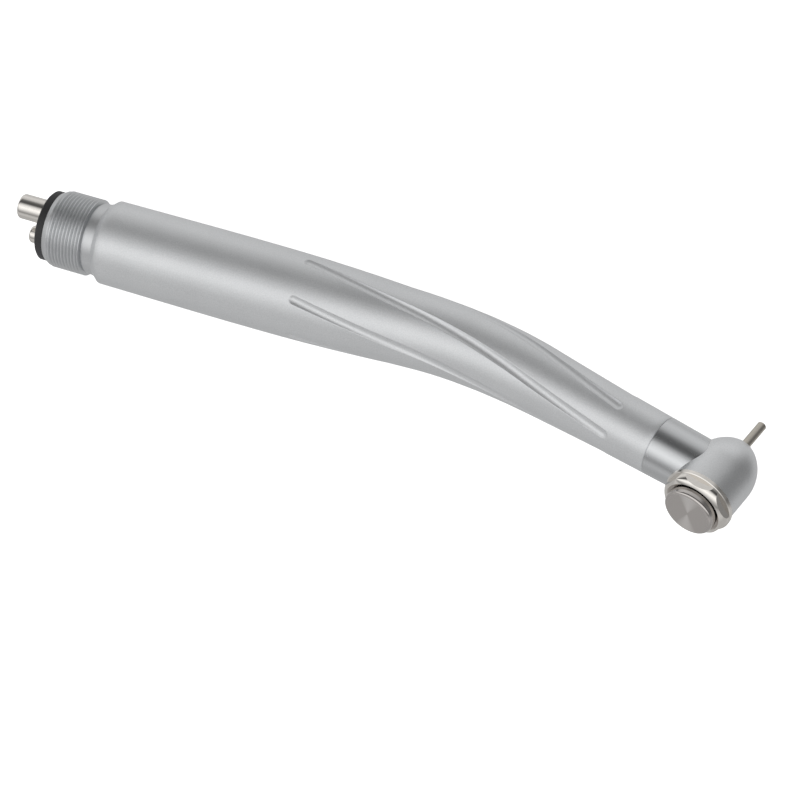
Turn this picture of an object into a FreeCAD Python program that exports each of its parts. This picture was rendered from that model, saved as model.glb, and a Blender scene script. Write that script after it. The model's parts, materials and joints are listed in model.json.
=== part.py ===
import FreeCAD, Part
import math
import os

from FreeCAD import Placement, Rotation, Vector

# High-speed air-turbine handpiece, lying on its side, in millimetres.
# Origin: centre of the rear sealing face.  +X runs forward along the handle, +Z is up,
# and the neck bends sideways towards -Y, so that the bur points towards +Y.

# ---- handle line: straight, one bend, straight ------------------------------------------
BEND_START = 69.5
BEND_RADIUS = 90.0
BEND_ANGLE = math.radians(15.5)
BEND_LENGTH = BEND_RADIUS * BEND_ANGLE
SEAM = 117.5             # joint between handle shell and neck, measured along the line
HEAD_STATION = 128.85    # head axis, measured along the line

# Outer radius of the handle shell at stations along the line.
SHELL_REAR = 10.85
SHELL_PROFILE = [(12.2, 7.56), (22.0, 7.62), (33.0, 7.67), (42.0, 7.65), (50.0, 7.55), (58.0, 7.28),
                 (66.0, 6.9), (74.0, 6.57), (82.0, 6.38), (90.0, 6.14), (98.0, 5.77), (106.0, 5.45),
                 (SEAM, 5.19)]
SHELL_REAR_R = 6.45
SHELL_WALL = 0.95
SHELL_BAND = 5.0         # length of the bands that make up the shell's curved surface
SEAM_LINE_ANGLE = 46.6   # where the bands' own start line runs, clear of the flutes' ends
SHELL_BORE_R = 6.6       # bore that takes the coupling and the manifold
SHELL_BORE_END = 30.0
SOCKET_R = 4.6           # bore at the front that takes the neck spigot
SOCKET_START = 105.0

# Grip flutes, spiralling round the handle.
FLUTE_COUNT = 6
FLUTE_START, FLUTE_END = 49.5, 109.5
FLUTE_FIRST_ANGLE = -13.4
FLUTE_TWIST = 80.0
FLUTE_TOOL_R = 1.1
FLUTE_DEPTH = 0.35

# ---- rear coupling ----------------------------------------------------------------------
GASKET_R, GASKET_T = 6.3, 1.5
GASKET_BEVEL = 0.25
THREAD_START, THREAD_END = 2.7, 9.2
THREAD_CREST_R, THREAD_ROOT_R = 6.95, 6.58
THREAD_PITCH = 0.64
THREAD_LEAD = 0.3        # length of the chamfer in front of the first crest
RELIEF_R = 6.2
COLLAR_W = 1.35
COUPLING_FRONT = 20.0
COUPLING_BORE_R = 5.3
BULKHEAD_FRONT = 6.0
AIR_TUBE = {"y": 0.46, "z": 2.47, "r": 2.25, "bore": 1.6, "tip": -5.5}
WATER_TUBE = {"y": -0.6, "z": -2.94, "r": 1.6, "bore": 0.95, "tip": -3.7}
TUBE_TIP_ROUND = 0.55
EXHAUST_PORT_R = 0.9
EXHAUST_PORTS = [(3.6, -1.0), (-3.7, 0.8)]

# ---- inner lines ------------------------------------------------------------------------
TUBE_FRONT = 22.0
MANIFOLD = (20.0, 26.0)
MANIFOLD_VENTS = [(4.3, -2.2), (-2.0, 4.4), (3.2, -4.2)]
MANIFOLD_VENT_R = 1.3
FEED_R = 0.3
AIR_LINE = {"y": 0.46, "z": 2.47, "r": 1.2, "bore": 0.85, "end_r": 4.75, "gap": 0.55}
WATER_LINE = {"y": -0.6, "z": -2.94, "r": 0.8, "bore": 0.5, "end_r": 5.72, "gap": 0.9}
CHIP_LINE = {"y": -2.6, "z": 0.6, "r": 0.7, "bore": 0.4, "end_r": 5.72, "gap": 0.9}
LINES = [AIR_LINE, WATER_LINE, CHIP_LINE]
LINE_START = 24.0
SPACER = (60.0, 62.0)
SPACER_CLEARANCE = 0.02
SPACER_VENTS = [(3.9, -2.2), (3.9, 1.9), (-3.6, -2.2)]
SPACER_VENT_R = 1.2

# ---- neck -------------------------------------------------------------------------------
NECK_REAR_R, NECK_FRONT_R = 5.2, 4.95
NECK_BORE_R = 4.0
SPIGOT_REAR = 109.0
NECK_RING_STATION = 112.5
NECK_RING_SECTION = 0.2

# ---- head, along its own axis: t = 0 where it crosses the handle line, t > 0 towards the bur
HEAD_R = 5.72
HEAD_REAR = -5.1
DOME_START = 0.75
DOME_RADIUS = 8.15
NOSE_T = 8.0
NOSE_HOLE_R = 1.05
NOSE_CAVITY_R = 2.05
NOSE_FLOOR = 7.1
CHAMBER_R = 4.75
CHAMBER = (-2.45, 1.9)
CAP_THREAD_R = 5.25
SEAT_R = 3.25
RING_GROOVE_R = 3.85
RING_GROOVE_W = 1.1
STOP_R = 2.8
INLET_START, INLET_LENGTH = -8.0, 6.0
EXHAUST_INLET_R = 1.0
SPRAY_START, SPRAY_END = Vector(-5.6, 1.07, 1.0), Vector(-3.4, -0.17, 6.7)
SPRAY_BORE_R = 0.25
NOZZLE_R, NOZZLE_BORE_R = 0.45, 0.2
NOZZLE_START = 3.6       # where the nozzle begins, measured along the spray bore

# ---- bearings: 6.35 mm outside, 3.175 mm bore, 2.78 mm wide ------------------------------
BEARING_R = 3.175
SPINDLE_R = 1.5875
BEARING_W = 2.78
FRONT_BEARING = 2.1
REAR_BEARING = -FRONT_BEARING - BEARING_W
BALL_COUNT = 7
BALL_R = 0.49
BALL_PITCH_R = 2.381
RACE_R = 0.52
INNER_SHOULDER_R, OUTER_SHOULDER_R = 2.09, 2.67
CAGE_INNER_R, CAGE_OUTER_R = 2.19, 2.57
CAGE_HALF_W = 0.85
POCKET_R = 0.53
WASHER_T = 0.18

# ---- rotor ------------------------------------------------------------------------------
HUB_R = 2.25
ROTOR_DISC_R, ROTOR_DISC_T = 3.6, 0.5
BLADE_ROOT_R, BLADE_TIP_R = 2.1, 4.42
BLADE_LEAN, BLADE_CUP = 0.12, 0.35
BLADE_HALF_W = 1.5
BLADE_COUNT = 10
BLADE_T = 0.4
SPINDLE = (-5.03, 6.75)
REAR_BORE_R = 0.85
CHUCK_BORE_R = 1.2
CHUCK_BORE_START = -3.95
CHUCK = (-2.4, 6.7)
CHUCK_BORE = 0.82
FINGER_END = 2.6
FINGER_SLOT = 0.3
FINGER_COUNT = 3
PLUNGER = (-5.18, -3.05)
BUR_R = 0.8
BUR_BEVEL = 0.12
BUR = (-2.1, 13.85)

# ---- cap and push button ----------------------------------------------------------------
CAP_R = 6.05
CAP_RIM = -5.95
CAP_FRONT = -2.5
CAP_BACK = -7.7
CAP_MOUTH_R = 4.62
CAP_BORE_R = 4.8
CAP_LIP = -6.95
FLAT_COUNT = 6
FLAT_DISTANCE = 5.4
CARRIER = (-5.8, -2.45)
CARRIER_SEAT_FLOOR = -5.23
BUTTON_R = 4.42
BUTTON_FLANGE_R = 4.72
BUTTON_FACE = -9.15
BUTTON_ROUND = 0.45
BUTTON_STOP_GAP = 0.02
BUTTON_BOTTOM = -6.55
BUTTON_POCKET = (1.55, 3.35)
BUTTON_POCKET_FLOOR = -8.15
STEM_R = 0.7
STEM_TIP = -5.43
STEM_HOLE_R = 0.75
SPRING_R, SPRING_WIRE_R, SPRING_TURNS = 2.45, 0.2, 3.0

OVER = 1.0   # how far a cutter runs past the face it opens


# ---- the handle line ----------------------------------------------------------------------
def line_point(s, side=0.0, up=0.0):
    """Point at station s of the handle line, moved sideways (+Y at the rear) and up."""
    if s <= BEND_START:
        return Vector(s, side, up)
    turn = min(s - BEND_START, BEND_LENGTH) / BEND_RADIUS
    past = max(s - BEND_START - BEND_LENGTH, 0.0)
    radius = BEND_RADIUS + side
    x = BEND_START + radius * math.sin(turn) + past * math.cos(turn)
    y = -BEND_RADIUS + radius * math.cos(turn) - past * math.sin(turn)
    return Vector(x, y, up)


def line_angle(s):
    """Direction of the handle line at station s, as a turn about +Z in degrees."""
    turn = min(max(s - BEND_START, 0.0), BEND_LENGTH) / BEND_RADIUS
    return -math.degrees(turn)


def at_station(shape, s):
    """Place a shape made along local +X so that its origin sits at station s."""
    place = Placement(line_point(s), Rotation(Vector(0, 0, 1), line_angle(s)))
    shape.Placement = place.multiply(shape.Placement)
    return shape


def section_wire(s, radius):
    """Circle round the handle line at station s."""
    circle = Part.Wire(Part.Circle(Vector(0, 0, 0), Vector(1, 0, 0), radius).toShape())
    turn = Rotation(Vector(0, 0, 1), line_angle(s)).multiply(Rotation(Vector(1, 0, 0), SEAM_LINE_ANGLE))
    circle.Placement = Placement(line_point(s), turn)
    return circle


def shell_radius(s):
    """Outer radius of the handle shell at station s, as a smooth curve through the profile."""
    last = len(SHELL_PROFILE) - 1
    i = max(k for k in range(last) if k == 0 or SHELL_PROFILE[k][0] <= s)
    around = [SHELL_PROFILE[min(max(k, 0), last)] for k in (i - 1, i, i + 1, i + 2)]
    (s0, r0), (s1, r1), (s2, r2), (s3, r3) = around
    width = s2 - s1
    share = min(max((s - s1) / width, 0.0), 1.0)
    lead_in = width * (r2 - r0) / (s2 - s0)
    lead_out = width * (r3 - r1) / (s3 - s1)
    rise = share * share * (3 - 2 * share)
    bend = lead_in * share * (1 - share) ** 2 - lead_out * share ** 2 * (1 - share)
    return r1 + (r2 - r1) * rise + bend


def shell_loft(s0, s1, inset):
    """Solid inside the shell's surface, less an inset, as short bands from s0 to s1."""
    bands = max(round((s1 - s0) / SHELL_BAND), 1)
    stations = [s0 + (s1 - s0) * i / bands for i in range(bands + 1)]
    return Part.makeLoft([section_wire(s, shell_radius(s) - inset) for s in stations], True, True)


# ---- general shapes -----------------------------------------------------------------------
def turned(points):
    """Solid of revolution from (radius, height) points; a three-item point is an arc's middle."""
    edges = []
    previous = Vector(points[0][0], 0, points[0][1])
    middle = None
    for point in points[1:] + points[:1]:
        here = Vector(point[0], 0, point[1])
        if len(point) == 3:
            middle = here
            continue
        if middle is not None:
            edges.append(Part.Arc(previous, middle, here).toShape())
        elif previous.distanceToPoint(here) > 1e-6:
            edges.append(Part.makeLine(previous, here))
        previous = here
        middle = None
    face = Part.Face(Part.Wire(edges))
    return face.revolve(Vector(0, 0, 0), Vector(0, 0, 1), 360)


def along_x(shape):
    """Turn a shape made along +Z so that it runs along +X."""
    shape.Placement = Placement(Vector(0, 0, 0), Rotation(Vector(0, 1, 0), 90)).multiply(shape.Placement)
    return shape


def rod(x0, x1, radius, y=0.0, z=0.0):
    """Round rod along +X."""
    return Part.makeCylinder(radius, x1 - x0, Vector(x0, y, z), Vector(1, 0, 0))


def line_rod(line, size, x0, x1):
    """Straight rod on a tube's or line's own centre, with one of its radii."""
    return rod(x0, x1, line[size], line["y"], line["z"])


def pin(t0, t1, radius):
    """Round rod along the head axis, in the head's own frame."""
    return Part.makeCylinder(radius, t1 - t0, Vector(0, 0, t0), Vector(0, 0, 1))


def ring(t0, t1, inner, outer):
    """Plain ring round the head axis."""
    return pin(t0, t1, outer).cut(pin(t0 - OVER, t1 + OVER, inner))


def head_placement():
    """The head's own frame: Z towards the bur, X onwards along the neck."""
    turn = BEND_ANGLE
    bur = Vector(math.sin(turn), math.cos(turn), 0)
    onward = Vector(math.cos(turn), -math.sin(turn), 0)
    return Placement(line_point(HEAD_STATION), Rotation(onward, Vector(0, 0, -1), bur, "ZXY"))


def in_head(shape):
    """Move a shape from the head's own frame into the row frame."""
    moved = shape.copy()
    moved.Placement = head_placement().multiply(moved.Placement)
    return moved


def bent_rod(line, size, s0, s1):
    """Rod on a line's own centre that follows the handle through its bend."""
    after = BEND_START + BEND_LENGTH
    place = Vector(BEND_START, line["y"], line["z"])
    disc = Part.Face(Part.Wire(Part.Circle(place, Vector(1, 0, 0), line[size]).toShape()))
    bend = disc.revolve(Vector(BEND_START, -BEND_RADIUS, 0), Vector(0, 0, -1), math.degrees(BEND_ANGLE))
    tail = at_station(line_rod(line, size, 0, s1 - after), after)
    return line_rod(line, size, s0, BEND_START).multiFuse([bend, tail]).removeSplitter()


# ---- handle -------------------------------------------------------------------------------
def flute_cutter(angle):
    """Ball-ended cutter that follows one spiral flute."""
    steps = 12
    points = []
    for i in range(steps + 1):
        share = i / steps
        s = FLUTE_START + (FLUTE_END - FLUTE_START) * share
        around = math.radians(angle + FLUTE_TWIST * share)
        reach = shell_radius(s) - FLUTE_DEPTH + FLUTE_TOOL_R
        points.append(line_point(s, -reach * math.sin(around), reach * math.cos(around)))
    path = Part.BSplineCurve()
    path.interpolate(points)
    start, end = points[0], points[-1]
    heading = path.tangent(path.FirstParameter)[0]
    disc = Part.Wire(Part.Circle(start, heading, FLUTE_TOOL_R).toShape())
    sweep = Part.Wire(path.toShape()).makePipeShell([disc], True, True)
    return sweep.multiFuse([Part.makeSphere(FLUTE_TOOL_R, start), Part.makeSphere(FLUTE_TOOL_R, end)])


def handle_shell():
    first_s, first_r = SHELL_PROFILE[0]
    body = shell_loft(first_s, SEAM, 0.0)
    for i in range(FLUTE_COUNT):
        body = body.cut(flute_cutter(FLUTE_FIRST_ANGLE + i * 360.0 / FLUTE_COUNT))
    slope = [(0, SHELL_REAR), (SHELL_REAR_R, SHELL_REAR), (first_r, first_s), (0, first_s)]
    socket = Part.makeCylinder(SOCKET_R, SEAM + OVER - SOCKET_START, Vector(0, 0, 0), Vector(1, 0, 0))
    cuts = [shell_loft(SHELL_BORE_END - 0.01, SOCKET_START + 0.01, SHELL_WALL)]
    cuts += [rod(SHELL_REAR - OVER, SHELL_BORE_END, SHELL_BORE_R), at_station(socket, SOCKET_START)]
    body = body.fuse(along_x(turned(slope)))
    for cut in cuts:
        body = body.cut(cut)
    return body


def coupling_outline():
    """Half outline of the coupling: chamfer, thread crests, relief groove and spigot."""
    points = [(0, GASKET_T), (GASKET_R, GASKET_T), (THREAD_CREST_R - 0.15, THREAD_START - THREAD_LEAD)]
    turns = int((THREAD_END - THREAD_START) / THREAD_PITCH)
    for i in range(turns):
        start = THREAD_START + i * THREAD_PITCH
        points.append((THREAD_ROOT_R, start))
        points.append((THREAD_CREST_R, start + 0.4 * THREAD_PITCH))
        points.append((THREAD_CREST_R, start + 0.6 * THREAD_PITCH))
    points += [(RELIEF_R, THREAD_START + turns * THREAD_PITCH), (RELIEF_R, SHELL_REAR - COLLAR_W)]
    points += [(SHELL_REAR_R, SHELL_REAR - COLLAR_W), (SHELL_REAR_R, SHELL_REAR)]
    points.append((SHELL_BORE_R, SHELL_REAR))
    points += [(SHELL_BORE_R, COUPLING_FRONT), (COUPLING_BORE_R, COUPLING_FRONT)]
    points += [(COUPLING_BORE_R, BULKHEAD_FRONT), (0, BULKHEAD_FRONT)]
    return points


def port_holes(x0, x1):
    """Cutters for the two tubes and the exhaust ports of the rear end."""
    holes = [line_rod(tube, "r", x0 - OVER, x1 + OVER) for tube in (AIR_TUBE, WATER_TUBE)]
    holes += [rod(x0 - OVER, x1 + OVER, EXHAUST_PORT_R, y, z) for y, z in EXHAUST_PORTS]
    return holes


def rear_coupling():
    return along_x(turned(coupling_outline())).cut(port_holes(GASKET_T, BULKHEAD_FRONT))


def coupling_gasket():
    outline = [(0, 0), (GASKET_R - GASKET_BEVEL, 0), (GASKET_R, GASKET_BEVEL)]
    body = turned(outline + [(GASKET_R, GASKET_T), (0, GASKET_T)])
    return along_x(body).cut(port_holes(0, GASKET_T))


def rear_tube(tube):
    """Stub tube that the hose pushes on to, with a rounded tip."""
    r, bore, tip = tube["r"], tube["bore"], tube["tip"]
    corner = TUBE_TIP_ROUND * (1 - math.sqrt(0.5))
    outline = [(bore, tip), (r - TUBE_TIP_ROUND, tip), (r - corner, tip + corner, "arc")]
    outline += [(r, tip + TUBE_TIP_ROUND), (r, TUBE_FRONT), (bore, TUBE_FRONT)]
    body = along_x(turned(outline))
    body.translate(Vector(0, tube["y"], tube["z"]))
    return body


def line_manifold():
    """Block inside the handle that joins the rear tubes to the inner lines."""
    x0, x1 = MANIFOLD
    cuts = [line_rod(tube, "r", x0 - OVER, TUBE_FRONT) for tube in (AIR_TUBE, WATER_TUBE)]
    cuts += [line_rod(line, "bore", x0 - OVER, x1 + OVER) for line in (AIR_LINE, WATER_LINE)]
    cuts += [line_rod(line, "r", LINE_START, x1 + OVER) for line in LINES]
    cuts += [rod(x0 - OVER, x1 + OVER, MANIFOLD_VENT_R, y, z) for y, z in MANIFOLD_VENTS]
    feed_from = Vector(TUBE_FRONT + 0.6, AIR_LINE["y"], AIR_LINE["z"])
    feed_to = Vector(LINE_START + 0.3, CHIP_LINE["y"], CHIP_LINE["z"])
    feed = feed_to.sub(feed_from)
    cuts.append(Part.makeCylinder(FEED_R, feed.Length, feed_from, feed))
    return rod(x0, x1, SHELL_BORE_R).cut(cuts)


def inner_line(line):
    """Thin tube that carries air or water from the manifold to the head's wall or chamber."""
    end = HEAD_STATION - math.sqrt(line["end_r"] ** 2 - line["z"] ** 2) - line["gap"]
    outside = bent_rod(line, "r", LINE_START, end)
    return outside.cut(bent_rod(line, "bore", LINE_START - OVER, end + OVER))


def line_spacer():
    """Thin disc that keeps the inner lines apart half way along the handle."""
    s0, s1 = SPACER
    radius = shell_radius(s1) - SHELL_WALL - SPACER_CLEARANCE
    cuts = [line_rod(line, "r", s0 - OVER, s1 + OVER) for line in LINES]
    cuts += [rod(s0 - OVER, s1 + OVER, SPACER_VENT_R, y, z) for y, z in SPACER_VENTS]
    return rod(s0, s1, radius).cut(cuts)


# ---- neck ---------------------------------------------------------------------------------
def neck_sleeve():
    head_gap = HEAD_STATION - SEAM
    spigot = SPIGOT_REAR - SEAM
    groove = NECK_RING_STATION - SEAM
    floor = SOCKET_R - 2 * NECK_RING_SECTION
    half = NECK_RING_SECTION + 0.05
    outline = [(NECK_BORE_R, spigot), (SOCKET_R - 0.2, spigot), (SOCKET_R, spigot + 0.2)]
    outline += [(SOCKET_R, groove - half), (floor, groove - half), (floor, groove + half)]
    outline += [(SOCKET_R, groove + half), (SOCKET_R, 0), (NECK_REAR_R - 0.08, 0), (NECK_REAR_R, 0.1)]
    outline += [(NECK_FRONT_R, head_gap), (NECK_BORE_R, head_gap)]
    sleeve = at_station(along_x(turned(outline)), SEAM)
    return sleeve.cut(in_head(head_blank()))


def neck_o_ring():
    middle = SOCKET_R - NECK_RING_SECTION
    seal = Part.makeTorus(middle, NECK_RING_SECTION, Vector(0, 0, 0), Vector(1, 0, 0))
    return at_station(seal, NECK_RING_STATION)


# ---- head ---------------------------------------------------------------------------------
def dome_radius(t):
    """Outer radius of the head at height t on its rounded nose."""
    return HEAD_R - DOME_RADIUS + math.sqrt(DOME_RADIUS ** 2 - (t - DOME_START) ** 2)


def head_blank():
    """Outside of the head as one solid: straight wall, then a rounded nose."""
    middle = (DOME_START + NOSE_T) / 2
    outline = [(0, HEAD_REAR), (HEAD_R, HEAD_REAR), (HEAD_R, DOME_START)]
    outline += [(dome_radius(middle), middle, "arc"), (dome_radius(NOSE_T), NOSE_T), (0, NOSE_T)]
    return turned(outline)


def seat_groove(bearing_start):
    """Cutter for the O-ring groove round a bearing's outer ring."""
    mid = bearing_start + BEARING_W / 2
    return pin(mid - RING_GROOVE_W / 2, mid + RING_GROOVE_W / 2, RING_GROOVE_R)


def spray_cutter(radius, back=0.0):
    """Slanted bore in the head wall that aims water at the bur's tip, begun a distance along."""
    run = SPRAY_END.sub(SPRAY_START)
    start = SPRAY_START.add(Vector(run).normalize().multiply(back))
    return Part.makeCylinder(radius, run.Length - back, start, run)


def wall_inlet(radius, across, along):
    """Bore through the head wall on the neck's side."""
    return Part.makeCylinder(radius, INLET_LENGTH, Vector(INLET_START, across, along), Vector(1, 0, 0))


def head_shell():
    stop = FRONT_BEARING + BEARING_W
    floor = stop + 0.4
    low, high = CHAMBER
    cuts = [pin(HEAD_REAR - OVER, low, CAP_THREAD_R), pin(low - 0.01, high, CHAMBER_R)]
    cuts += [pin(high - 0.01, stop, SEAT_R), seat_groove(FRONT_BEARING)]
    cuts += [pin(stop - 0.01, floor, STOP_R), pin(floor - 0.01, NOSE_FLOOR, NOSE_CAVITY_R)]
    cuts.append(pin(NOSE_FLOOR - 0.01, NOSE_T + OVER, NOSE_HOLE_R))
    cuts.append(wall_inlet(AIR_LINE["r"], -AIR_LINE["z"], AIR_LINE["y"]))
    cuts.append(wall_inlet(EXHAUST_INLET_R, 1.7, -0.8))
    cuts += [spray_cutter(SPRAY_BORE_R), spray_cutter(NOZZLE_R, NOZZLE_START)]
    return in_head(head_blank().cut(cuts))


def spray_nozzle():
    body = spray_cutter(NOZZLE_R, NOZZLE_START).cut(spray_cutter(NOZZLE_BORE_R))
    return in_head(body.common(head_blank()))


def head_cap():
    """Screwed ring that closes the back of the head and keeps the push button in."""
    outline = [(CAP_BORE_R, CAP_FRONT), (CAP_THREAD_R, CAP_FRONT), (CAP_THREAD_R, HEAD_REAR)]
    outline += [(CAP_R - 0.15, HEAD_REAR), (CAP_R, HEAD_REAR - 0.15), (CAP_R, CAP_RIM + 0.1)]
    outline += [(CAP_R - 0.12, CAP_RIM), (CAP_R - 0.15, CAP_RIM - 0.65, "arc")]
    outline.append((CAP_MOUTH_R + 0.35, CAP_BACK))
    outline += [(CAP_MOUTH_R, CAP_BACK + 0.2), (CAP_MOUTH_R, CAP_LIP), (CAP_BORE_R, CAP_LIP)]
    body = turned(outline)
    for i in range(FLAT_COUNT):
        block = Part.makeBox(4, 8, 2.4, Vector(FLAT_DISTANCE, -4, CAP_RIM - 2.4))
        block.rotate(Vector(0, 0, 0), Vector(0, 0, 1), 30 + i * 360.0 / FLAT_COUNT)
        body = body.cut(block)
    return in_head(body)


def rear_bearing_carrier():
    outline = [(STEM_HOLE_R, CARRIER[0]), (CAP_BORE_R, CARRIER[0]), (CAP_BORE_R, CARRIER[1])]
    outline += [(4.1, CARRIER[1]), (4.1, -FRONT_BEARING), (SEAT_R, -FRONT_BEARING)]
    outline += [(SEAT_R, CARRIER_SEAT_FLOOR), (STEM_HOLE_R, CARRIER_SEAT_FLOOR)]
    return in_head(turned(outline).cut(seat_groove(REAR_BEARING)))


def push_button():
    corner = BUTTON_ROUND * (1 - math.sqrt(0.5))
    shoulder = CAP_LIP + BUTTON_STOP_GAP
    inner, outer = BUTTON_POCKET
    outline = [(0, BUTTON_FACE), (BUTTON_R - BUTTON_ROUND, BUTTON_FACE)]
    outline += [(BUTTON_R - corner, BUTTON_FACE + corner, "arc"), (BUTTON_R, BUTTON_FACE + BUTTON_ROUND)]
    outline += [(BUTTON_R, shoulder), (BUTTON_FLANGE_R, shoulder), (BUTTON_FLANGE_R, BUTTON_BOTTOM)]
    outline += [(outer, BUTTON_BOTTOM), (outer, BUTTON_POCKET_FLOOR), (inner, BUTTON_POCKET_FLOOR)]
    outline += [(inner, BUTTON_BOTTOM), (STEM_R, BUTTON_BOTTOM), (STEM_R, STEM_TIP), (0, STEM_TIP)]
    return in_head(turned(outline))


def button_spring():
    low, high = BUTTON_POCKET_FLOOR + SPRING_WIRE_R, CARRIER[0] - SPRING_WIRE_R
    height = high - low
    helix = Part.makeHelix(height / SPRING_TURNS, height, SPRING_R)
    helix.translate(Vector(0, 0, low))
    wire = Part.Wire(Part.Circle(Vector(SPRING_R, 0, low), Vector(0, 1, 0), SPRING_WIRE_R).toShape())
    coil = Part.Wire(helix.Edges).makePipeShell([wire], True, True)
    return in_head(coil)


# ---- bearings -----------------------------------------------------------------------------
def race_torus(mid):
    return Part.makeTorus(BALL_PITCH_R, RACE_R, Vector(0, 0, mid), Vector(0, 0, 1))


def outer_ring(start):
    mid = start + BEARING_W / 2
    return in_head(ring(start, start + BEARING_W, OUTER_SHOULDER_R, BEARING_R).cut(race_torus(mid)))


def inner_ring(start):
    mid = start + BEARING_W / 2
    return in_head(ring(start, start + BEARING_W, SPINDLE_R, INNER_SHOULDER_R).cut(race_torus(mid)))


def ball_place(index, mid):
    angle = 2 * math.pi * index / BALL_COUNT
    return Vector(BALL_PITCH_R * math.cos(angle), BALL_PITCH_R * math.sin(angle), mid)


def ball_group(start):
    mid = start + BEARING_W / 2
    balls = [Part.makeSphere(BALL_R, ball_place(i, mid)) for i in range(BALL_COUNT)]
    return in_head(Part.makeCompound(balls))


def ball_cage(start):
    mid = start + BEARING_W / 2
    body = ring(mid - CAGE_HALF_W, mid + CAGE_HALF_W, CAGE_INNER_R, CAGE_OUTER_R)
    for i in range(BALL_COUNT):
        way = ball_place(i, 0)
        body = body.cut(Part.makeCylinder(POCKET_R, 4, Vector(0, 0, mid), way))
    return in_head(body)


def bearing_o_ring(start):
    mid = start + BEARING_W / 2
    section = (RING_GROOVE_R - BEARING_R) / 2
    return in_head(Part.makeTorus(BEARING_R + section, section, Vector(0, 0, mid), Vector(0, 0, 1)))


def preload_washer():
    """Coned spring washer behind the rear bearing."""
    low, high = CARRIER_SEAT_FLOOR, REAR_BEARING
    outline = [(2.5, low), (2.7, low), (3.1, high - WASHER_T), (3.1, high), (2.9, high)]
    return in_head(turned(outline + [(2.5, low + WASHER_T)]))


# ---- rotor --------------------------------------------------------------------------------
def impeller_blade(angle):
    """One curved turbine blade, thick as sheet, cupped against the air jet."""
    root = Vector(BLADE_ROOT_R, 0, 0)
    tip = Vector(BLADE_TIP_R * math.cos(BLADE_LEAN), BLADE_TIP_R * math.sin(BLADE_LEAN), 0)
    belly = Vector((BLADE_ROOT_R + BLADE_TIP_R) / 2, -BLADE_CUP, 0)
    shift = Vector(0, BLADE_T, 0)
    edges = [Part.Arc(root, belly, tip).toShape(), Part.makeLine(tip, tip.add(shift))]
    edges += [Part.Arc(tip.add(shift), belly.add(shift), root.add(shift)).toShape()]
    edges += [Part.makeLine(root.add(shift), root)]
    blade = Part.Face(Part.Wire(edges)).extrude(Vector(0, 0, 2 * BLADE_HALF_W))
    blade.translate(Vector(0, 0, -BLADE_HALF_W))
    blade.rotate(Vector(0, 0, 0), Vector(0, 0, 1), angle)
    return blade


def impeller():
    hub = ring(-FRONT_BEARING, FRONT_BEARING, SPINDLE_R, HUB_R)
    disc = ring(-ROTOR_DISC_T / 2, ROTOR_DISC_T / 2, SPINDLE_R, ROTOR_DISC_R)
    blades = [impeller_blade(i * 360.0 / BLADE_COUNT) for i in range(BLADE_COUNT)]
    limit = ring(-FRONT_BEARING, FRONT_BEARING, SPINDLE_R, BLADE_TIP_R)
    return in_head(hub.multiFuse([disc] + blades).common(limit))


def spindle():
    body = pin(SPINDLE[0], SPINDLE[1], SPINDLE_R)
    cuts = [pin(SPINDLE[0] - OVER, CHUCK_BORE_START, REAR_BORE_R)]
    cuts.append(pin(CHUCK_BORE_START - 0.01, SPINDLE[1] + OVER, CHUCK_BORE_R))
    return in_head(body.cut(cuts))


def chuck():
    """Gripping sleeve inside the spindle, slit into three fingers at its rear."""
    body = ring(CHUCK[0], CHUCK[1], CHUCK_BORE, CHUCK_BORE_R)
    corner = Vector(0, -FINGER_SLOT / 2, CHUCK[0] - OVER)
    for i in range(FINGER_COUNT):
        slot = Part.makeBox(3, FINGER_SLOT, FINGER_END - corner.z, corner)
        slot.rotate(Vector(0, 0, 0), Vector(0, 0, 1), i * 360.0 / FINGER_COUNT)
        body = body.cut(slot)
    return in_head(body)


def release_plunger():
    """Small wedge that the button's stem drives into the chuck's fingers."""
    low, high = PLUNGER
    stem, wedge = REAR_BORE_R - 0.05, CHUCK_BORE_R - 0.08
    outline = [(0, low), (stem, low), (stem, CHUCK_BORE_START + 0.05), (wedge, CHUCK_BORE_START + 0.05)]
    return in_head(turned(outline + [(wedge, high - 0.25), (0.6, high), (0, high)]))


def bur():
    low, high = BUR
    outline = [(0, low), (BUR_R - BUR_BEVEL, low), (BUR_R, low + BUR_BEVEL), (BUR_R, high - BUR_BEVEL)]
    return in_head(turned(outline + [(BUR_R - BUR_BEVEL, high), (0, high)]))


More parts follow.
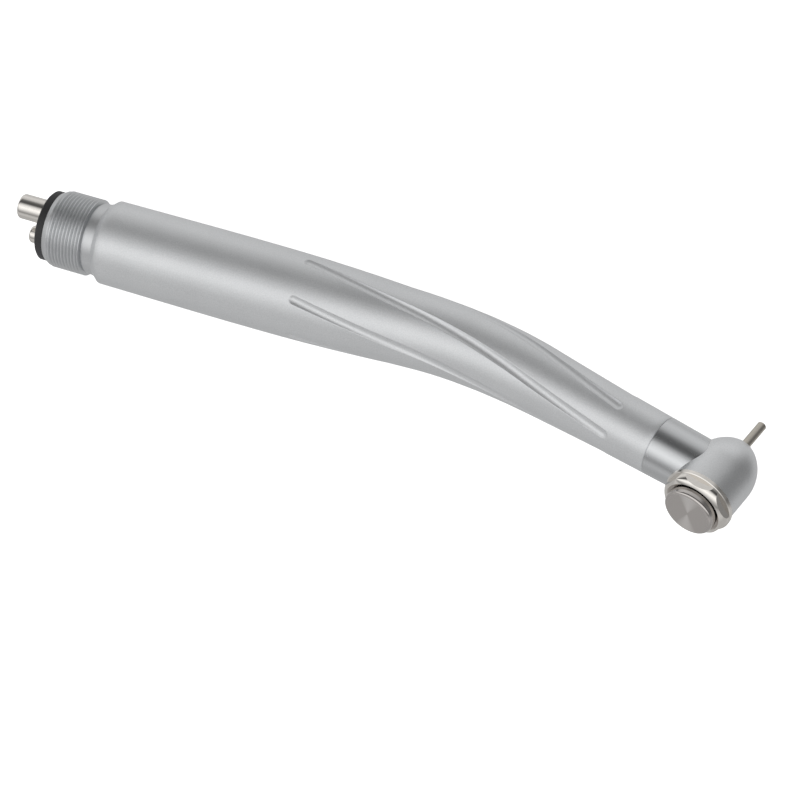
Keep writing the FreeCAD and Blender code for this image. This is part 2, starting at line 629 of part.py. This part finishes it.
# ---- all sub-parts ------------------------------------------------------------------------
def all_parts():
    return {
        "handle_shell": handle_shell(),
        "rear_coupling": rear_coupling(),
        "coupling_gasket": coupling_gasket(),
        "drive_air_tube": rear_tube(AIR_TUBE),
        "water_tube": rear_tube(WATER_TUBE),
        "line_manifold": line_manifold(),
        "drive_air_line": inner_line(AIR_LINE),
        "water_line": inner_line(WATER_LINE),
        "chip_air_line": inner_line(CHIP_LINE),
        "line_spacer": line_spacer(),
        "neck_sleeve": neck_sleeve(),
        "neck_o_ring": neck_o_ring(),
        "head_shell": head_shell(),
        "spray_nozzle": spray_nozzle(),
        "head_cap": head_cap(),
        "rear_bearing_carrier": rear_bearing_carrier(),
        "push_button": push_button(),
        "button_spring": button_spring(),
        "front_bearing_outer_ring": outer_ring(FRONT_BEARING),
        "front_bearing_inner_ring": inner_ring(FRONT_BEARING),
        "front_bearing_balls": ball_group(FRONT_BEARING),
        "front_bearing_cage": ball_cage(FRONT_BEARING),
        "front_bearing_o_ring": bearing_o_ring(FRONT_BEARING),
        "rear_bearing_outer_ring": outer_ring(REAR_BEARING),
        "rear_bearing_inner_ring": inner_ring(REAR_BEARING),
        "rear_bearing_balls": ball_group(REAR_BEARING),
        "rear_bearing_cage": ball_cage(REAR_BEARING),
        "rear_bearing_o_ring": bearing_o_ring(REAR_BEARING),
        "preload_washer": preload_washer(),
        "impeller": impeller(),
        "spindle": spindle(),
        "chuck": chuck(),
        "release_plunger": release_plunger(),
        "bur": bur(),
    }


os.makedirs("parts", exist_ok=True)
for name, shape in all_parts().items():
    solids = len(shape.Solids)
    print(f"{name}: {solids} solid(s), {shape.Volume:.2f} mm3, valid {shape.isValid()}")
    shape.exportStep(f"parts/{name}.step")
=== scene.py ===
import json
import math

import bmesh
import bpy
from mathutils import Matrix, Vector


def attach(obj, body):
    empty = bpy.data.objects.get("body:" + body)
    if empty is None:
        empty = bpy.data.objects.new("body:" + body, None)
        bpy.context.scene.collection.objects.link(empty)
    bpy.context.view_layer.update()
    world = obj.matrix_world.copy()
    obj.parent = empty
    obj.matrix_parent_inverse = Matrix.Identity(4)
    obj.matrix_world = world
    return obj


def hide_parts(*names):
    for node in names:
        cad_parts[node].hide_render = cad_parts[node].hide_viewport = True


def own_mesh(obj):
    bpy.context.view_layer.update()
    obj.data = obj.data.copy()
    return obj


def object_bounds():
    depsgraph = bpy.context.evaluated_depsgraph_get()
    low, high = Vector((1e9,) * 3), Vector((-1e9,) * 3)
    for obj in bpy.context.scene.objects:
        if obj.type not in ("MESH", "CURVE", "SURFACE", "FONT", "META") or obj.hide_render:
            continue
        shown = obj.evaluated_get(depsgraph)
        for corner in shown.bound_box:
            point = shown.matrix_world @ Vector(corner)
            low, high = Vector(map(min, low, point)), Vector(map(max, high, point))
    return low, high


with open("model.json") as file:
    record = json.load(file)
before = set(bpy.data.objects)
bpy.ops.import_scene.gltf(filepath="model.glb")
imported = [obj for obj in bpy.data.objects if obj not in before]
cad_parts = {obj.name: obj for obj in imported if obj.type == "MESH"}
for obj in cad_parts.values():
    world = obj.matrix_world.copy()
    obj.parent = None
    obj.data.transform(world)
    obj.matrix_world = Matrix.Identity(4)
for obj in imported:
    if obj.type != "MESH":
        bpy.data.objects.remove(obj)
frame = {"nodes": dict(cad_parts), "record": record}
cad_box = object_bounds()
MM = 0.001

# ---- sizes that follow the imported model, in metres -----------------------------------------
BEND_START = 69.5 * MM
BEND_RADIUS = 90.0 * MM
BEND_ANGLE = math.radians(15.5)
BEND_LENGTH = BEND_RADIUS * BEND_ANGLE
SEAM = 117.5 * MM
HEAD_STATION = 128.85 * MM

SHELL_REAR = 10.85 * MM
SHELL_PROFILE = [(12.2, 7.56), (22.0, 7.62), (33.0, 7.67), (42.0, 7.65), (50.0, 7.55), (58.0, 7.28),
                 (66.0, 6.9), (74.0, 6.57), (82.0, 6.38), (90.0, 6.14), (98.0, 5.77), (106.0, 5.45),
                 (117.5, 5.19)]
SHELL_REAR_R = 6.45 * MM
SHELL_BORE_R = 6.15 * MM
SOCKET_R = 4.6 * MM
SOCKET_START = 105.0 * MM

FLUTE_COUNT = 6
FLUTE_START, FLUTE_END = 49.5 * MM, 109.5 * MM
FLUTE_FIRST_ANGLE = math.radians(-13.4)
FLUTE_TWIST = math.radians(80.0)
FLUTE_TOOL_R = 1.1 * MM
FLUTE_DEPTH = 0.35 * MM

# The head's axis, pointing towards the bur, and the button spring along it.
HEAD_AXIS = Vector((math.sin(BEND_ANGLE), math.cos(BEND_ANGLE), 0))
HEAD_ACROSS = Vector((math.cos(BEND_ANGLE), -math.sin(BEND_ANGLE), 0))
SPRING_BACK, SPRING_SEAT = -8.15 * MM, -5.8 * MM
SPRING_R, SPRING_WIRE_R, SPRING_TURNS = 2.45 * MM, 0.2 * MM, 3
STEPS_PER_TURN = 24
WIRE_SIDES = 12

# The push button's turned face, in millimetres of radius.
GROOVE_RATE = 26.0       # radians of groove wave for each millimetre
FACE_EDGE = (3.85, 4.05)


# ---- the handle line ------------------------------------------------------------------------
def line_point(s):
    """Point at station s of the handle line."""
    turn = min(max(s - BEND_START, 0.0), BEND_LENGTH) / BEND_RADIUS
    past = max(s - BEND_START - BEND_LENGTH, 0.0)
    x = min(s, BEND_START) + BEND_RADIUS * math.sin(turn) + past * math.cos(turn)
    y = BEND_RADIUS * (math.cos(turn) - 1) - past * math.sin(turn)
    return Vector((x, y, 0))


def line_side(s):
    """Unit vector across the handle line, in the plane of the bend."""
    turn = min(max(s - BEND_START, 0.0), BEND_LENGTH) / BEND_RADIUS
    return Vector((math.sin(turn), math.cos(turn), 0))


# ---- materials ------------------------------------------------------------------------------
class Field:
    """A shader socket that can be used in arithmetic."""

    def __init__(self, finish, socket):
        self.finish = finish
        self.socket = socket

    def combine(self, operation, first, second):
        return self.finish.node("ShaderNodeMath", {"operation": operation}, first, second)[0]

    def __add__(self, other):
        return self.combine("ADD", self, other)

    def __radd__(self, other):
        return self.combine("ADD", other, self)

    def __sub__(self, other):
        return self.combine("SUBTRACT", self, other)

    def __rsub__(self, other):
        return self.combine("SUBTRACT", other, self)

    def __mul__(self, other):
        return self.combine("MULTIPLY", self, other)

    def __rmul__(self, other):
        return self.combine("MULTIPLY", other, self)

    def __truediv__(self, other):
        return self.combine("DIVIDE", self, other)

    def __pow__(self, other):
        return self.combine("POWER", self, other)


class Bench:
    """A node tree and the one way that nodes are added to it."""

    def __init__(self, tree):
        self.tree = tree

    def node(self, kind, settings, *values, **named):
        """Add a node: its settings first, then values or links for its sockets."""
        made = self.tree.nodes.new(kind)
        for key, value in settings.items():
            if key == "stops":
                set_stops(made.color_ramp, value)
            else:
                setattr(made, key, value)
        pairs = list(zip(made.inputs, values))
        pairs += [(made.inputs[key.replace("_", " ")], value) for key, value in named.items()]
        for socket, value in pairs:
            if isinstance(value, Field):
                self.tree.links.new(value.socket, socket)
            elif value is not None:
                socket.default_value = value
        return [Field(self, output) for output in made.outputs]

    def parts(self, vector):
        """The three components of a vector."""
        return self.node("ShaderNodeSeparateXYZ", {}, vector)


def set_stops(ramp, stops):
    """Give a colour ramp its stops, as pairs of position and grey level or colour."""
    while len(ramp.elements) < len(stops):
        ramp.elements.new(0.5)
    for element, (position, colour) in zip(ramp.elements, stops):
        element.position = position
        element.color = (colour, colour, colour, 1) if isinstance(colour, float) else colour


class Finish(Bench):
    """One procedural material: a Principled surface and the nodes that feed it."""

    def __init__(self, name, **constants):
        self.material = bpy.data.materials.new(name)
        self.material.use_nodes = True
        super().__init__(self.material.node_tree)
        self.surface = self.tree.nodes["Principled BSDF"]
        for socket, value in constants.items():
            self.surface.inputs[socket.replace("_", " ")].default_value = value

    def place(self):
        """Position in the row frame, in millimetres."""
        spot = self.node("ShaderNodeTexCoord", {})[3]
        return self.node("ShaderNodeVectorMath", {"operation": "SCALE"}, spot, Scale=1 / MM)[0]

    def noise(self, where, scale, detail=2.0):
        return self.node("ShaderNodeTexNoise", {}, Vector=where, Scale=scale, Detail=detail)[0]

    def blend(self, share, low, high):
        """Colour between two colours."""
        unused = [None] * 5
        return self.node("ShaderNodeMix", {"data_type": "RGBA"}, share, *unused, low, high)[2]

    def ramp(self, value, low, high):
        """Value spread from 0 at low to 1 at high, and held there."""
        return self.node("ShaderNodeMapRange", {"clamp": True}, value, low, high, 0.0, 1.0)[0]

    def paint(self, **links):
        for socket, value in links.items():
            self.tree.links.new(value.socket, self.surface.inputs[socket.replace("_", " ")])
        return self.material

    def bump(self, height, strength, distance):
        return self.node("ShaderNodeBump", {}, Strength=strength, Distance=distance, Height=height)[0]


def blasted_silver():
    """Fine bead-blasted nickel: soft sheen with a sandy grain, smoother on the head."""
    finish = Finish("blasted_silver", Metallic=1.0)
    where = finish.place()
    grain = finish.noise(where, 5.0, 3.0)
    broad = finish.noise(where, 0.12, 2.0)
    tone = finish.ramp(grain, 0.3, 0.7) * 0.6 + broad * 0.4
    colour = finish.blend(tone, (0.70, 0.71, 0.72, 1), (0.86, 0.87, 0.88, 1))
    ahead = finish.ramp(finish.parts(where)[0], SEAM / MM - 1.0, SEAM / MM)
    rough = 0.46 + 0.1 * grain - 0.08 * ahead
    return finish.paint(Base_Color=colour, Roughness=rough, Normal=finish.bump(grain, 0.6, 0.00003))


def satin_silver():
    """Neck: finer satin finish that mirrors softly."""
    finish = Finish("satin_silver", Metallic=1.0)
    where = finish.place()
    grain = finish.noise(where, 7.0, 2.0)
    colour = finish.blend(grain, (0.56, 0.57, 0.58, 1), (0.68, 0.69, 0.70, 1))
    relief = finish.bump(grain, 0.15, 0.00002)
    return finish.paint(Base_Color=colour, Roughness=0.2 + 0.1 * grain, Normal=relief)


def polished_chrome():
    finish = Finish("polished_chrome", Metallic=1.0)
    where = finish.place()
    haze = finish.noise(where, 1.5, 2.0)
    colour = finish.blend(haze, (0.74, 0.71, 0.67, 1), (0.84, 0.81, 0.77, 1))
    return finish.paint(Base_Color=colour, Roughness=0.04 + 0.06 * haze)


def machined_steel():
    finish = Finish("machined_steel", Metallic=1.0)
    where = finish.place()
    grain = finish.noise(where, 6.0, 3.0)
    colour = finish.blend(grain, (0.60, 0.61, 0.62, 1), (0.76, 0.77, 0.78, 1))
    relief = finish.bump(grain, 0.2, 0.00002)
    return finish.paint(Base_Color=colour, Roughness=0.36 + 0.14 * grain, Normal=relief)


def black_rubber():
    finish = Finish("black_rubber")
    where = finish.place()
    speck = finish.noise(where, 3.0, 4.0)
    colour = finish.blend(speck, (0.012, 0.012, 0.013, 1), (0.03, 0.03, 0.032, 1))
    relief = finish.bump(speck, 0.2, 0.00003)
    return finish.paint(Base_Color=colour, Roughness=0.45 + 0.2 * speck, Normal=relief)


def turned_face():
    """Push button: fine rings turned round the head's axis, with a painted glint across them: a lighter
    wedge painted into the base colour.
    """
    finish = Finish("turned_face", Metallic=1.0)
    where = finish.place()
    x, y, z = finish.parts(where)
    centre = line_point(HEAD_STATION).dot(HEAD_ACROSS) / MM
    across = x * HEAD_ACROSS.x + y * HEAD_ACROSS.y - centre
    radius = (across * across + z * z) ** 0.5
    rings = finish.node("ShaderNodeMath", {"operation": "SINE"}, radius * GROOVE_RATE)[0]
    edge = finish.ramp(radius, *FACE_EDGE)
    # Painted highlight: a lighter wedge of base colour across the rings stands in for the turned face's
    # glint.
    painted_glint = finish.ramp(z * z / (across * across + z * z + 0.01), 0.75, 1.0) * (1.0 - edge)
    colour = finish.blend(painted_glint, (0.56, 0.53, 0.51, 1), (0.76, 0.73, 0.71, 1))
    rough = 0.34 - 0.22 * edge + 0.04 * finish.noise(where, 6.0)
    return finish.paint(Base_Color=colour, Roughness=rough, Normal=finish.bump(rings, 0.25, 0.00001))


def plain_metal(name, low, high, roughness, grain_scale=4.0):
    """Inner metal parts: one even colour with a light grain."""
    finish = Finish(name, Metallic=1.0)
    grain = finish.noise(finish.place(), grain_scale, 3.0)
    return finish.paint(Base_Color=finish.blend(grain, low, high), Roughness=roughness + 0.1 * grain)


def cage_polymer():
    finish = Finish("cage_polymer")
    grain = finish.noise(finish.place(), 4.0, 3.0)
    return finish.paint(Base_Color=finish.blend(grain, (0.25, 0.14, 0.05, 1), (0.38, 0.24, 0.1, 1)),
                        Roughness=0.5 + 0.1 * grain)


FINISHES = {
    "matte_shell": blasted_silver(),
    "satin_neck": satin_silver(),
    "machined_thread": machined_steel(),
    "gasket_rubber": black_rubber(),
    "polished_tube": polished_chrome(),
    "polished_cap": polished_chrome(),
    "turned_button": turned_face(),
    "line_metal": plain_metal("drawn_line", (0.4, 0.4, 0.4, 1), (0.6, 0.6, 0.6, 1), 0.3),
    "brass_block": plain_metal("brass", (0.5, 0.36, 0.14, 1), (0.7, 0.52, 0.25, 1), 0.25),
    "ring_rubber": black_rubber(),
    "bearing_steel": plain_metal("bearing_steel", (0.5, 0.5, 0.51, 1), (0.65, 0.65, 0.66, 1), 0.12),
    "ball_ceramic": plain_metal("ball_ceramic", (0.05, 0.05, 0.05, 1), (0.09, 0.09, 0.09, 1), 0.08),
    "cage_polymer": cage_polymer(),
    "rotor_alloy": plain_metal("rotor_alloy", (0.5, 0.5, 0.52, 1), (0.62, 0.62, 0.64, 1), 0.25),
    "spring_steel": plain_metal("spring_steel", (0.35, 0.35, 0.36, 1), (0.5, 0.5, 0.51, 1), 0.25),
    "bur_steel": plain_metal("bur_steel", (0.48, 0.45, 0.40, 1), (0.66, 0.62, 0.55, 1), 0.25),
}


def wear(piece, slot):
    piece.data.materials.clear()
    piece.data.materials.append(FINISHES[slot])


# ---- the shell's outline --------------------------------------------------------------------
def shell_radius(s):
    """Outer radius of the shell at station s, as a smooth curve through the profile."""
    last = len(SHELL_PROFILE) - 1
    s = s / MM
    i = max(k for k in range(last) if k == 0 or SHELL_PROFILE[k][0] <= s)
    around = [SHELL_PROFILE[min(max(k, 0), last)] for k in (i - 1, i, i + 1, i + 2)]
    (s0, r0), (s1, r1), (s2, r2), (s3, r3) = around
    width = s2 - s1
    share = min(max((s - s1) / width, 0.0), 1.0)
    lead_in = width * (r2 - r0) / (s2 - s0)
    lead_out = width * (r3 - r1) / (s3 - s1)
    rise = share * share * (3 - 2 * share)
    bend = lead_in * share * (1 - share) ** 2 - lead_out * share ** 2 * (1 - share)
    return MM * (r1 + (r2 - r1) * rise + bend)


# ---- grip barrel ----------------------------------------------------------------------------
def flute_sink(along, across):
    """Depth of a ball-nosed flute at a point off its centreline; along is the distance past its end."""
    off = math.hypot(max(along, 0.0), across)
    floor = FLUTE_TOOL_R - FLUTE_DEPTH
    return max(math.sqrt(max(FLUTE_TOOL_R ** 2 - off ** 2, 0.0)) - floor, 0.0)


def barrel_columns():
    """Mesh columns of one flute's sector: offsets across the flute in metres, and shares of the land."""
    near = [0.0, 0.2, 0.4, 0.55, 0.68, 0.76, 0.81, 0.88, 1.05]
    columns = [("flute", w * MM) for w in near] + [("land", share) for share in (0.12, 0.3, 0.5, 0.7, 0.88)]
    columns += [("flute_end", -w * MM) for w in reversed(near[1:])]
    return columns


def barrel_ring(s, columns):
    """Points round the barrel at station s; the columns follow the twist of the flutes."""
    radius = shell_radius(s)
    share = min(max((s - FLUTE_START) / (FLUTE_END - FLUTE_START), 0.0), 1.0)
    past_end = max(FLUTE_START - s, s - FLUTE_END, 0.0)
    edge = columns[len([c for c in columns if c[0] == "flute"]) - 1][1] / radius
    sector = 2 * math.pi / FLUTE_COUNT
    ring = []
    for flute in range(FLUTE_COUNT):
        centre = FLUTE_FIRST_ANGLE + FLUTE_TWIST * share + flute * sector
        for kind, value in columns:
            if kind == "land":
                angle = edge + (sector - 2 * edge) * value
                sink = 0.0
            else:
                angle = value / radius if kind == "flute" else sector + value / radius
                sink = flute_sink(past_end, abs(value))
            around = centre + angle
            reach = radius - sink
            ring.append(line_point(s) - line_side(s) * reach * math.sin(around)
                        + Vector((0, 0, reach * math.cos(around))))
    return ring


def round_ring(s, radius, columns):
    """Plain ring with the same number of points and the same start as a barrel ring."""
    ring = []
    for point in barrel_ring(s, columns):
        arm = point - line_point(s)
        ring.append(line_point(s) + arm.normalized() * radius)
    return ring


def spread(start, end, step):
    count = max(round((end - start) / step), 1)
    return [start + (end - start) * i / count for i in range(count)]


def mesh_from_rings(name, rings, closed=True):
    """Mesh piece from rings of equally many points, each joined to the next and the last to the first."""
    mesh = bmesh.new()
    loops = [[mesh.verts.new(point) for point in ring] for ring in rings]
    pairs = list(zip(loops, loops[1:] + loops[:1])) if closed else list(zip(loops, loops[1:]))
    for low, high in pairs:
        for i in range(len(low)):
            j = (i + 1) % len(low)
            mesh.faces.new((low[i], low[j], high[j], high[i]))
    bmesh.ops.recalc_face_normals(mesh, faces=mesh.faces)
    data = bpy.data.meshes.new(name)
    mesh.to_mesh(data)
    mesh.free()
    piece = bpy.data.objects.new(name, data)
    bpy.context.scene.collection.objects.link(piece)
    for face in data.polygons:
        face.use_smooth = True
    return piece


def grip_barrel():
    """Handle shell with its twisted finger flutes, rear chamfer and inner bores."""
    columns = barrel_columns()
    fine, coarse, blend_zone = 0.12 * MM, 1.2 * MM, 1.3 * MM
    first = SHELL_PROFILE[0][0] * MM
    stations = spread(first, FLUTE_START - blend_zone, coarse)
    stations += spread(FLUTE_START - blend_zone, FLUTE_START + 0.3 * MM, fine)
    stations += spread(FLUTE_START + 0.3 * MM, FLUTE_END - 0.3 * MM, coarse)
    stations += spread(FLUTE_END - 0.3 * MM, FLUTE_END + blend_zone, fine)
    stations += spread(FLUTE_END + blend_zone, SEAM - 0.1 * MM, coarse)
    lip = 0.05 * MM
    rings = [round_ring(SHELL_REAR, SHELL_BORE_R, columns),
             round_ring(SHELL_REAR, SHELL_REAR_R - lip, columns),
             round_ring(SHELL_REAR + lip, SHELL_REAR_R, columns)]
    rings += [round_ring(first - lip, shell_radius(first) - lip, columns)]
    rings += [barrel_ring(s, columns) for s in stations]
    rings += [round_ring(SEAM - 0.1 * MM, shell_radius(SEAM), columns),
              round_ring(SEAM, shell_radius(SEAM) - 0.08 * MM, columns),
              round_ring(SEAM, SOCKET_R, columns), round_ring(SOCKET_START, SOCKET_R, columns)]
    rings += [round_ring(s, min(shell_radius(s) - 1.2 * MM, SHELL_BORE_R), columns)
              for s in reversed(spread(SHELL_REAR + 10 * MM, SOCKET_START, 5 * MM))]
    piece = mesh_from_rings("grip_barrel", rings)
    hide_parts("handle_shell")
    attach(piece, "handpiece")
    wear(piece, "matte_shell")
    return piece


def coil_ring(turned, height):
    """Section of the spring's wire after a number of turns, at a height on the head's axis."""
    angle = 2 * math.pi * turned
    arm = HEAD_ACROSS * math.cos(angle) + Vector((0, 0, -math.sin(angle)))
    centre = line_point(HEAD_STATION) + HEAD_AXIS * height + arm * SPRING_R
    section = [2 * math.pi * i / WIRE_SIDES for i in range(WIRE_SIDES)]
    return [centre + (arm * math.cos(a) + HEAD_AXIS * math.sin(a)) * SPRING_WIRE_R for a in section]


def return_coil():
    """Spring behind the push button, wound from its back towards its seat by the bearing carrier."""
    steps = STEPS_PER_TURN * SPRING_TURNS
    low, high = SPRING_BACK + SPRING_WIRE_R, SPRING_SEAT - SPRING_WIRE_R
    rings = [coil_ring(i / STEPS_PER_TURN, low + (high - low) * i / steps) for i in range(steps + 1)]
    piece = mesh_from_rings("return_coil", rings, closed=False)
    mesh = bmesh.new()
    mesh.from_mesh(piece.data)
    bmesh.ops.holes_fill(mesh, edges=[edge for edge in mesh.edges if edge.is_boundary])
    bmesh.ops.recalc_face_normals(mesh, faces=mesh.faces)
    mesh.to_mesh(piece.data)
    mesh.free()
    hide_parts("button_spring")
    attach(piece, "handpiece")
    wear(piece, "spring_steel")
    seat = line_point(HEAD_STATION) + HEAD_AXIS * SPRING_SEAT
    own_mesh(piece)


grip_barrel()
return_coil()

for row in frame["record"]["subparts"]:
    if row["node"] not in ("handle_shell", "button_spring"):
        wear(frame["nodes"][row["node"]], row["material_slot"])


# ---- stage, light and camera ----------------------------------------------------------------
def floor():
    low, high = cad_box
    size = 1.2
    mesh = bpy.data.meshes.new("floor")
    corners = [(-size, -size), (size, -size), (size, size), (-size, size)]
    mesh.from_pydata([(x, y, low.z) for x, y in corners], [], [(0, 1, 2, 3)])
    ground = bpy.data.objects.new("floor", mesh)
    bpy.context.scene.collection.objects.link(ground)
    finish = Finish("pale_floor", Roughness=0.6, Emission_Strength=0.95)
    speck = finish.noise(finish.place(), 0.05, 2.0)
    tone = finish.blend(speck, (0.86, 0.86, 0.86, 1), (0.9, 0.9, 0.9, 1))
    finish.paint(Base_Color=tone, Emission_Color=tone)
    ground.visible_glossy = False
    ground.data.materials.append(finish.material)


# Light round the object, from straight down, up over the back, to the front and down again:
# degrees forward of straight up, and brightness.
LIGHT_ROUND = [(-180, 0.50), (-113, 0.62), (-85, 0.60), (-60, 0.80), (-45, 0.74), (-31, 0.60),
               (-17, 0.20), (-3, 0.10), (11, 0.10), (21, 0.50), (33, 0.95), (55, 1.30), (72, 1.00),
               (85, 0.60), (101, 0.30), (113, 0.55), (125, 0.66), (144, 0.50), (180, 0.50)]
LIGHT_TOP = 1.6
DARK_SIDE = Vector((0.88, 0.396, 0.257)).normalized()


def studio():
    """Soft light all round, with a dark gap overhead and a darker right-hand side."""
    world = bpy.data.worlds.new("studio")
    world.use_nodes = True
    bench = Bench(world.node_tree)
    way = bench.node("ShaderNodeTexCoord", {})[0]
    x, y, z = bench.parts(way)
    round_angle = bench.node("ShaderNodeMath", {"operation": "ARCTAN2"}, 0 - y, z)[0] / math.tau + 0.5
    stops = [(angle / 360 + 0.5, level / LIGHT_TOP) for angle, level in LIGHT_ROUND]
    level = bench.node("ShaderNodeValToRGB", {"stops": stops}, round_angle)[0]
    facing = bench.node("ShaderNodeVectorMath", {"operation": "DOT_PRODUCT"}, way, DARK_SIDE)[1]
    smooth = {"interpolation_type": "SMOOTHSTEP"}
    shade = bench.node("ShaderNodeMapRange", smooth, facing, 0.72, 0.97, 1.0, 0.3)[0]
    background = world.node_tree.nodes["Background"]
    world.node_tree.links.new(level.socket, background.inputs["Color"])
    world.node_tree.links.new((shade * LIGHT_TOP).socket, background.inputs["Strength"])
    bpy.context.scene.world = world


VIEW_AZIMUTH, VIEW_ELEVATION, VIEW_ROLL = 21.87, 49.79, 0.67
VIEW_AIM = Vector((0.07035, -0.00908, -0.00842))
VIEW_DISTANCE = 0.429


def camera():
    view = bpy.data.cameras.new("camera")
    view.sensor_width = 36
    view.lens = 112.5
    view.clip_start = 0.01
    azimuth, elevation = math.radians(VIEW_AZIMUTH), math.radians(VIEW_ELEVATION)
    roll = math.radians(VIEW_ROLL)
    forward = Vector((-math.sin(azimuth) * math.cos(elevation), math.cos(azimuth) * math.cos(elevation),
                      -math.sin(elevation)))
    level = Vector((math.cos(azimuth), math.sin(azimuth), 0))
    down = forward.cross(level)
    right = level * math.cos(roll) + down * math.sin(roll)
    up = level * math.sin(roll) - down * math.cos(roll)
    eye = bpy.data.objects.new("camera", view)
    turn = Matrix((right, up, -forward)).transposed().to_4x4()
    eye.matrix_world = Matrix.Translation(VIEW_AIM - forward * VIEW_DISTANCE) @ turn
    bpy.context.scene.collection.objects.link(eye)
    bpy.context.scene.camera = eye


floor()
studio()
camera()
bpy.context.scene.view_settings.view_transform = "Standard"
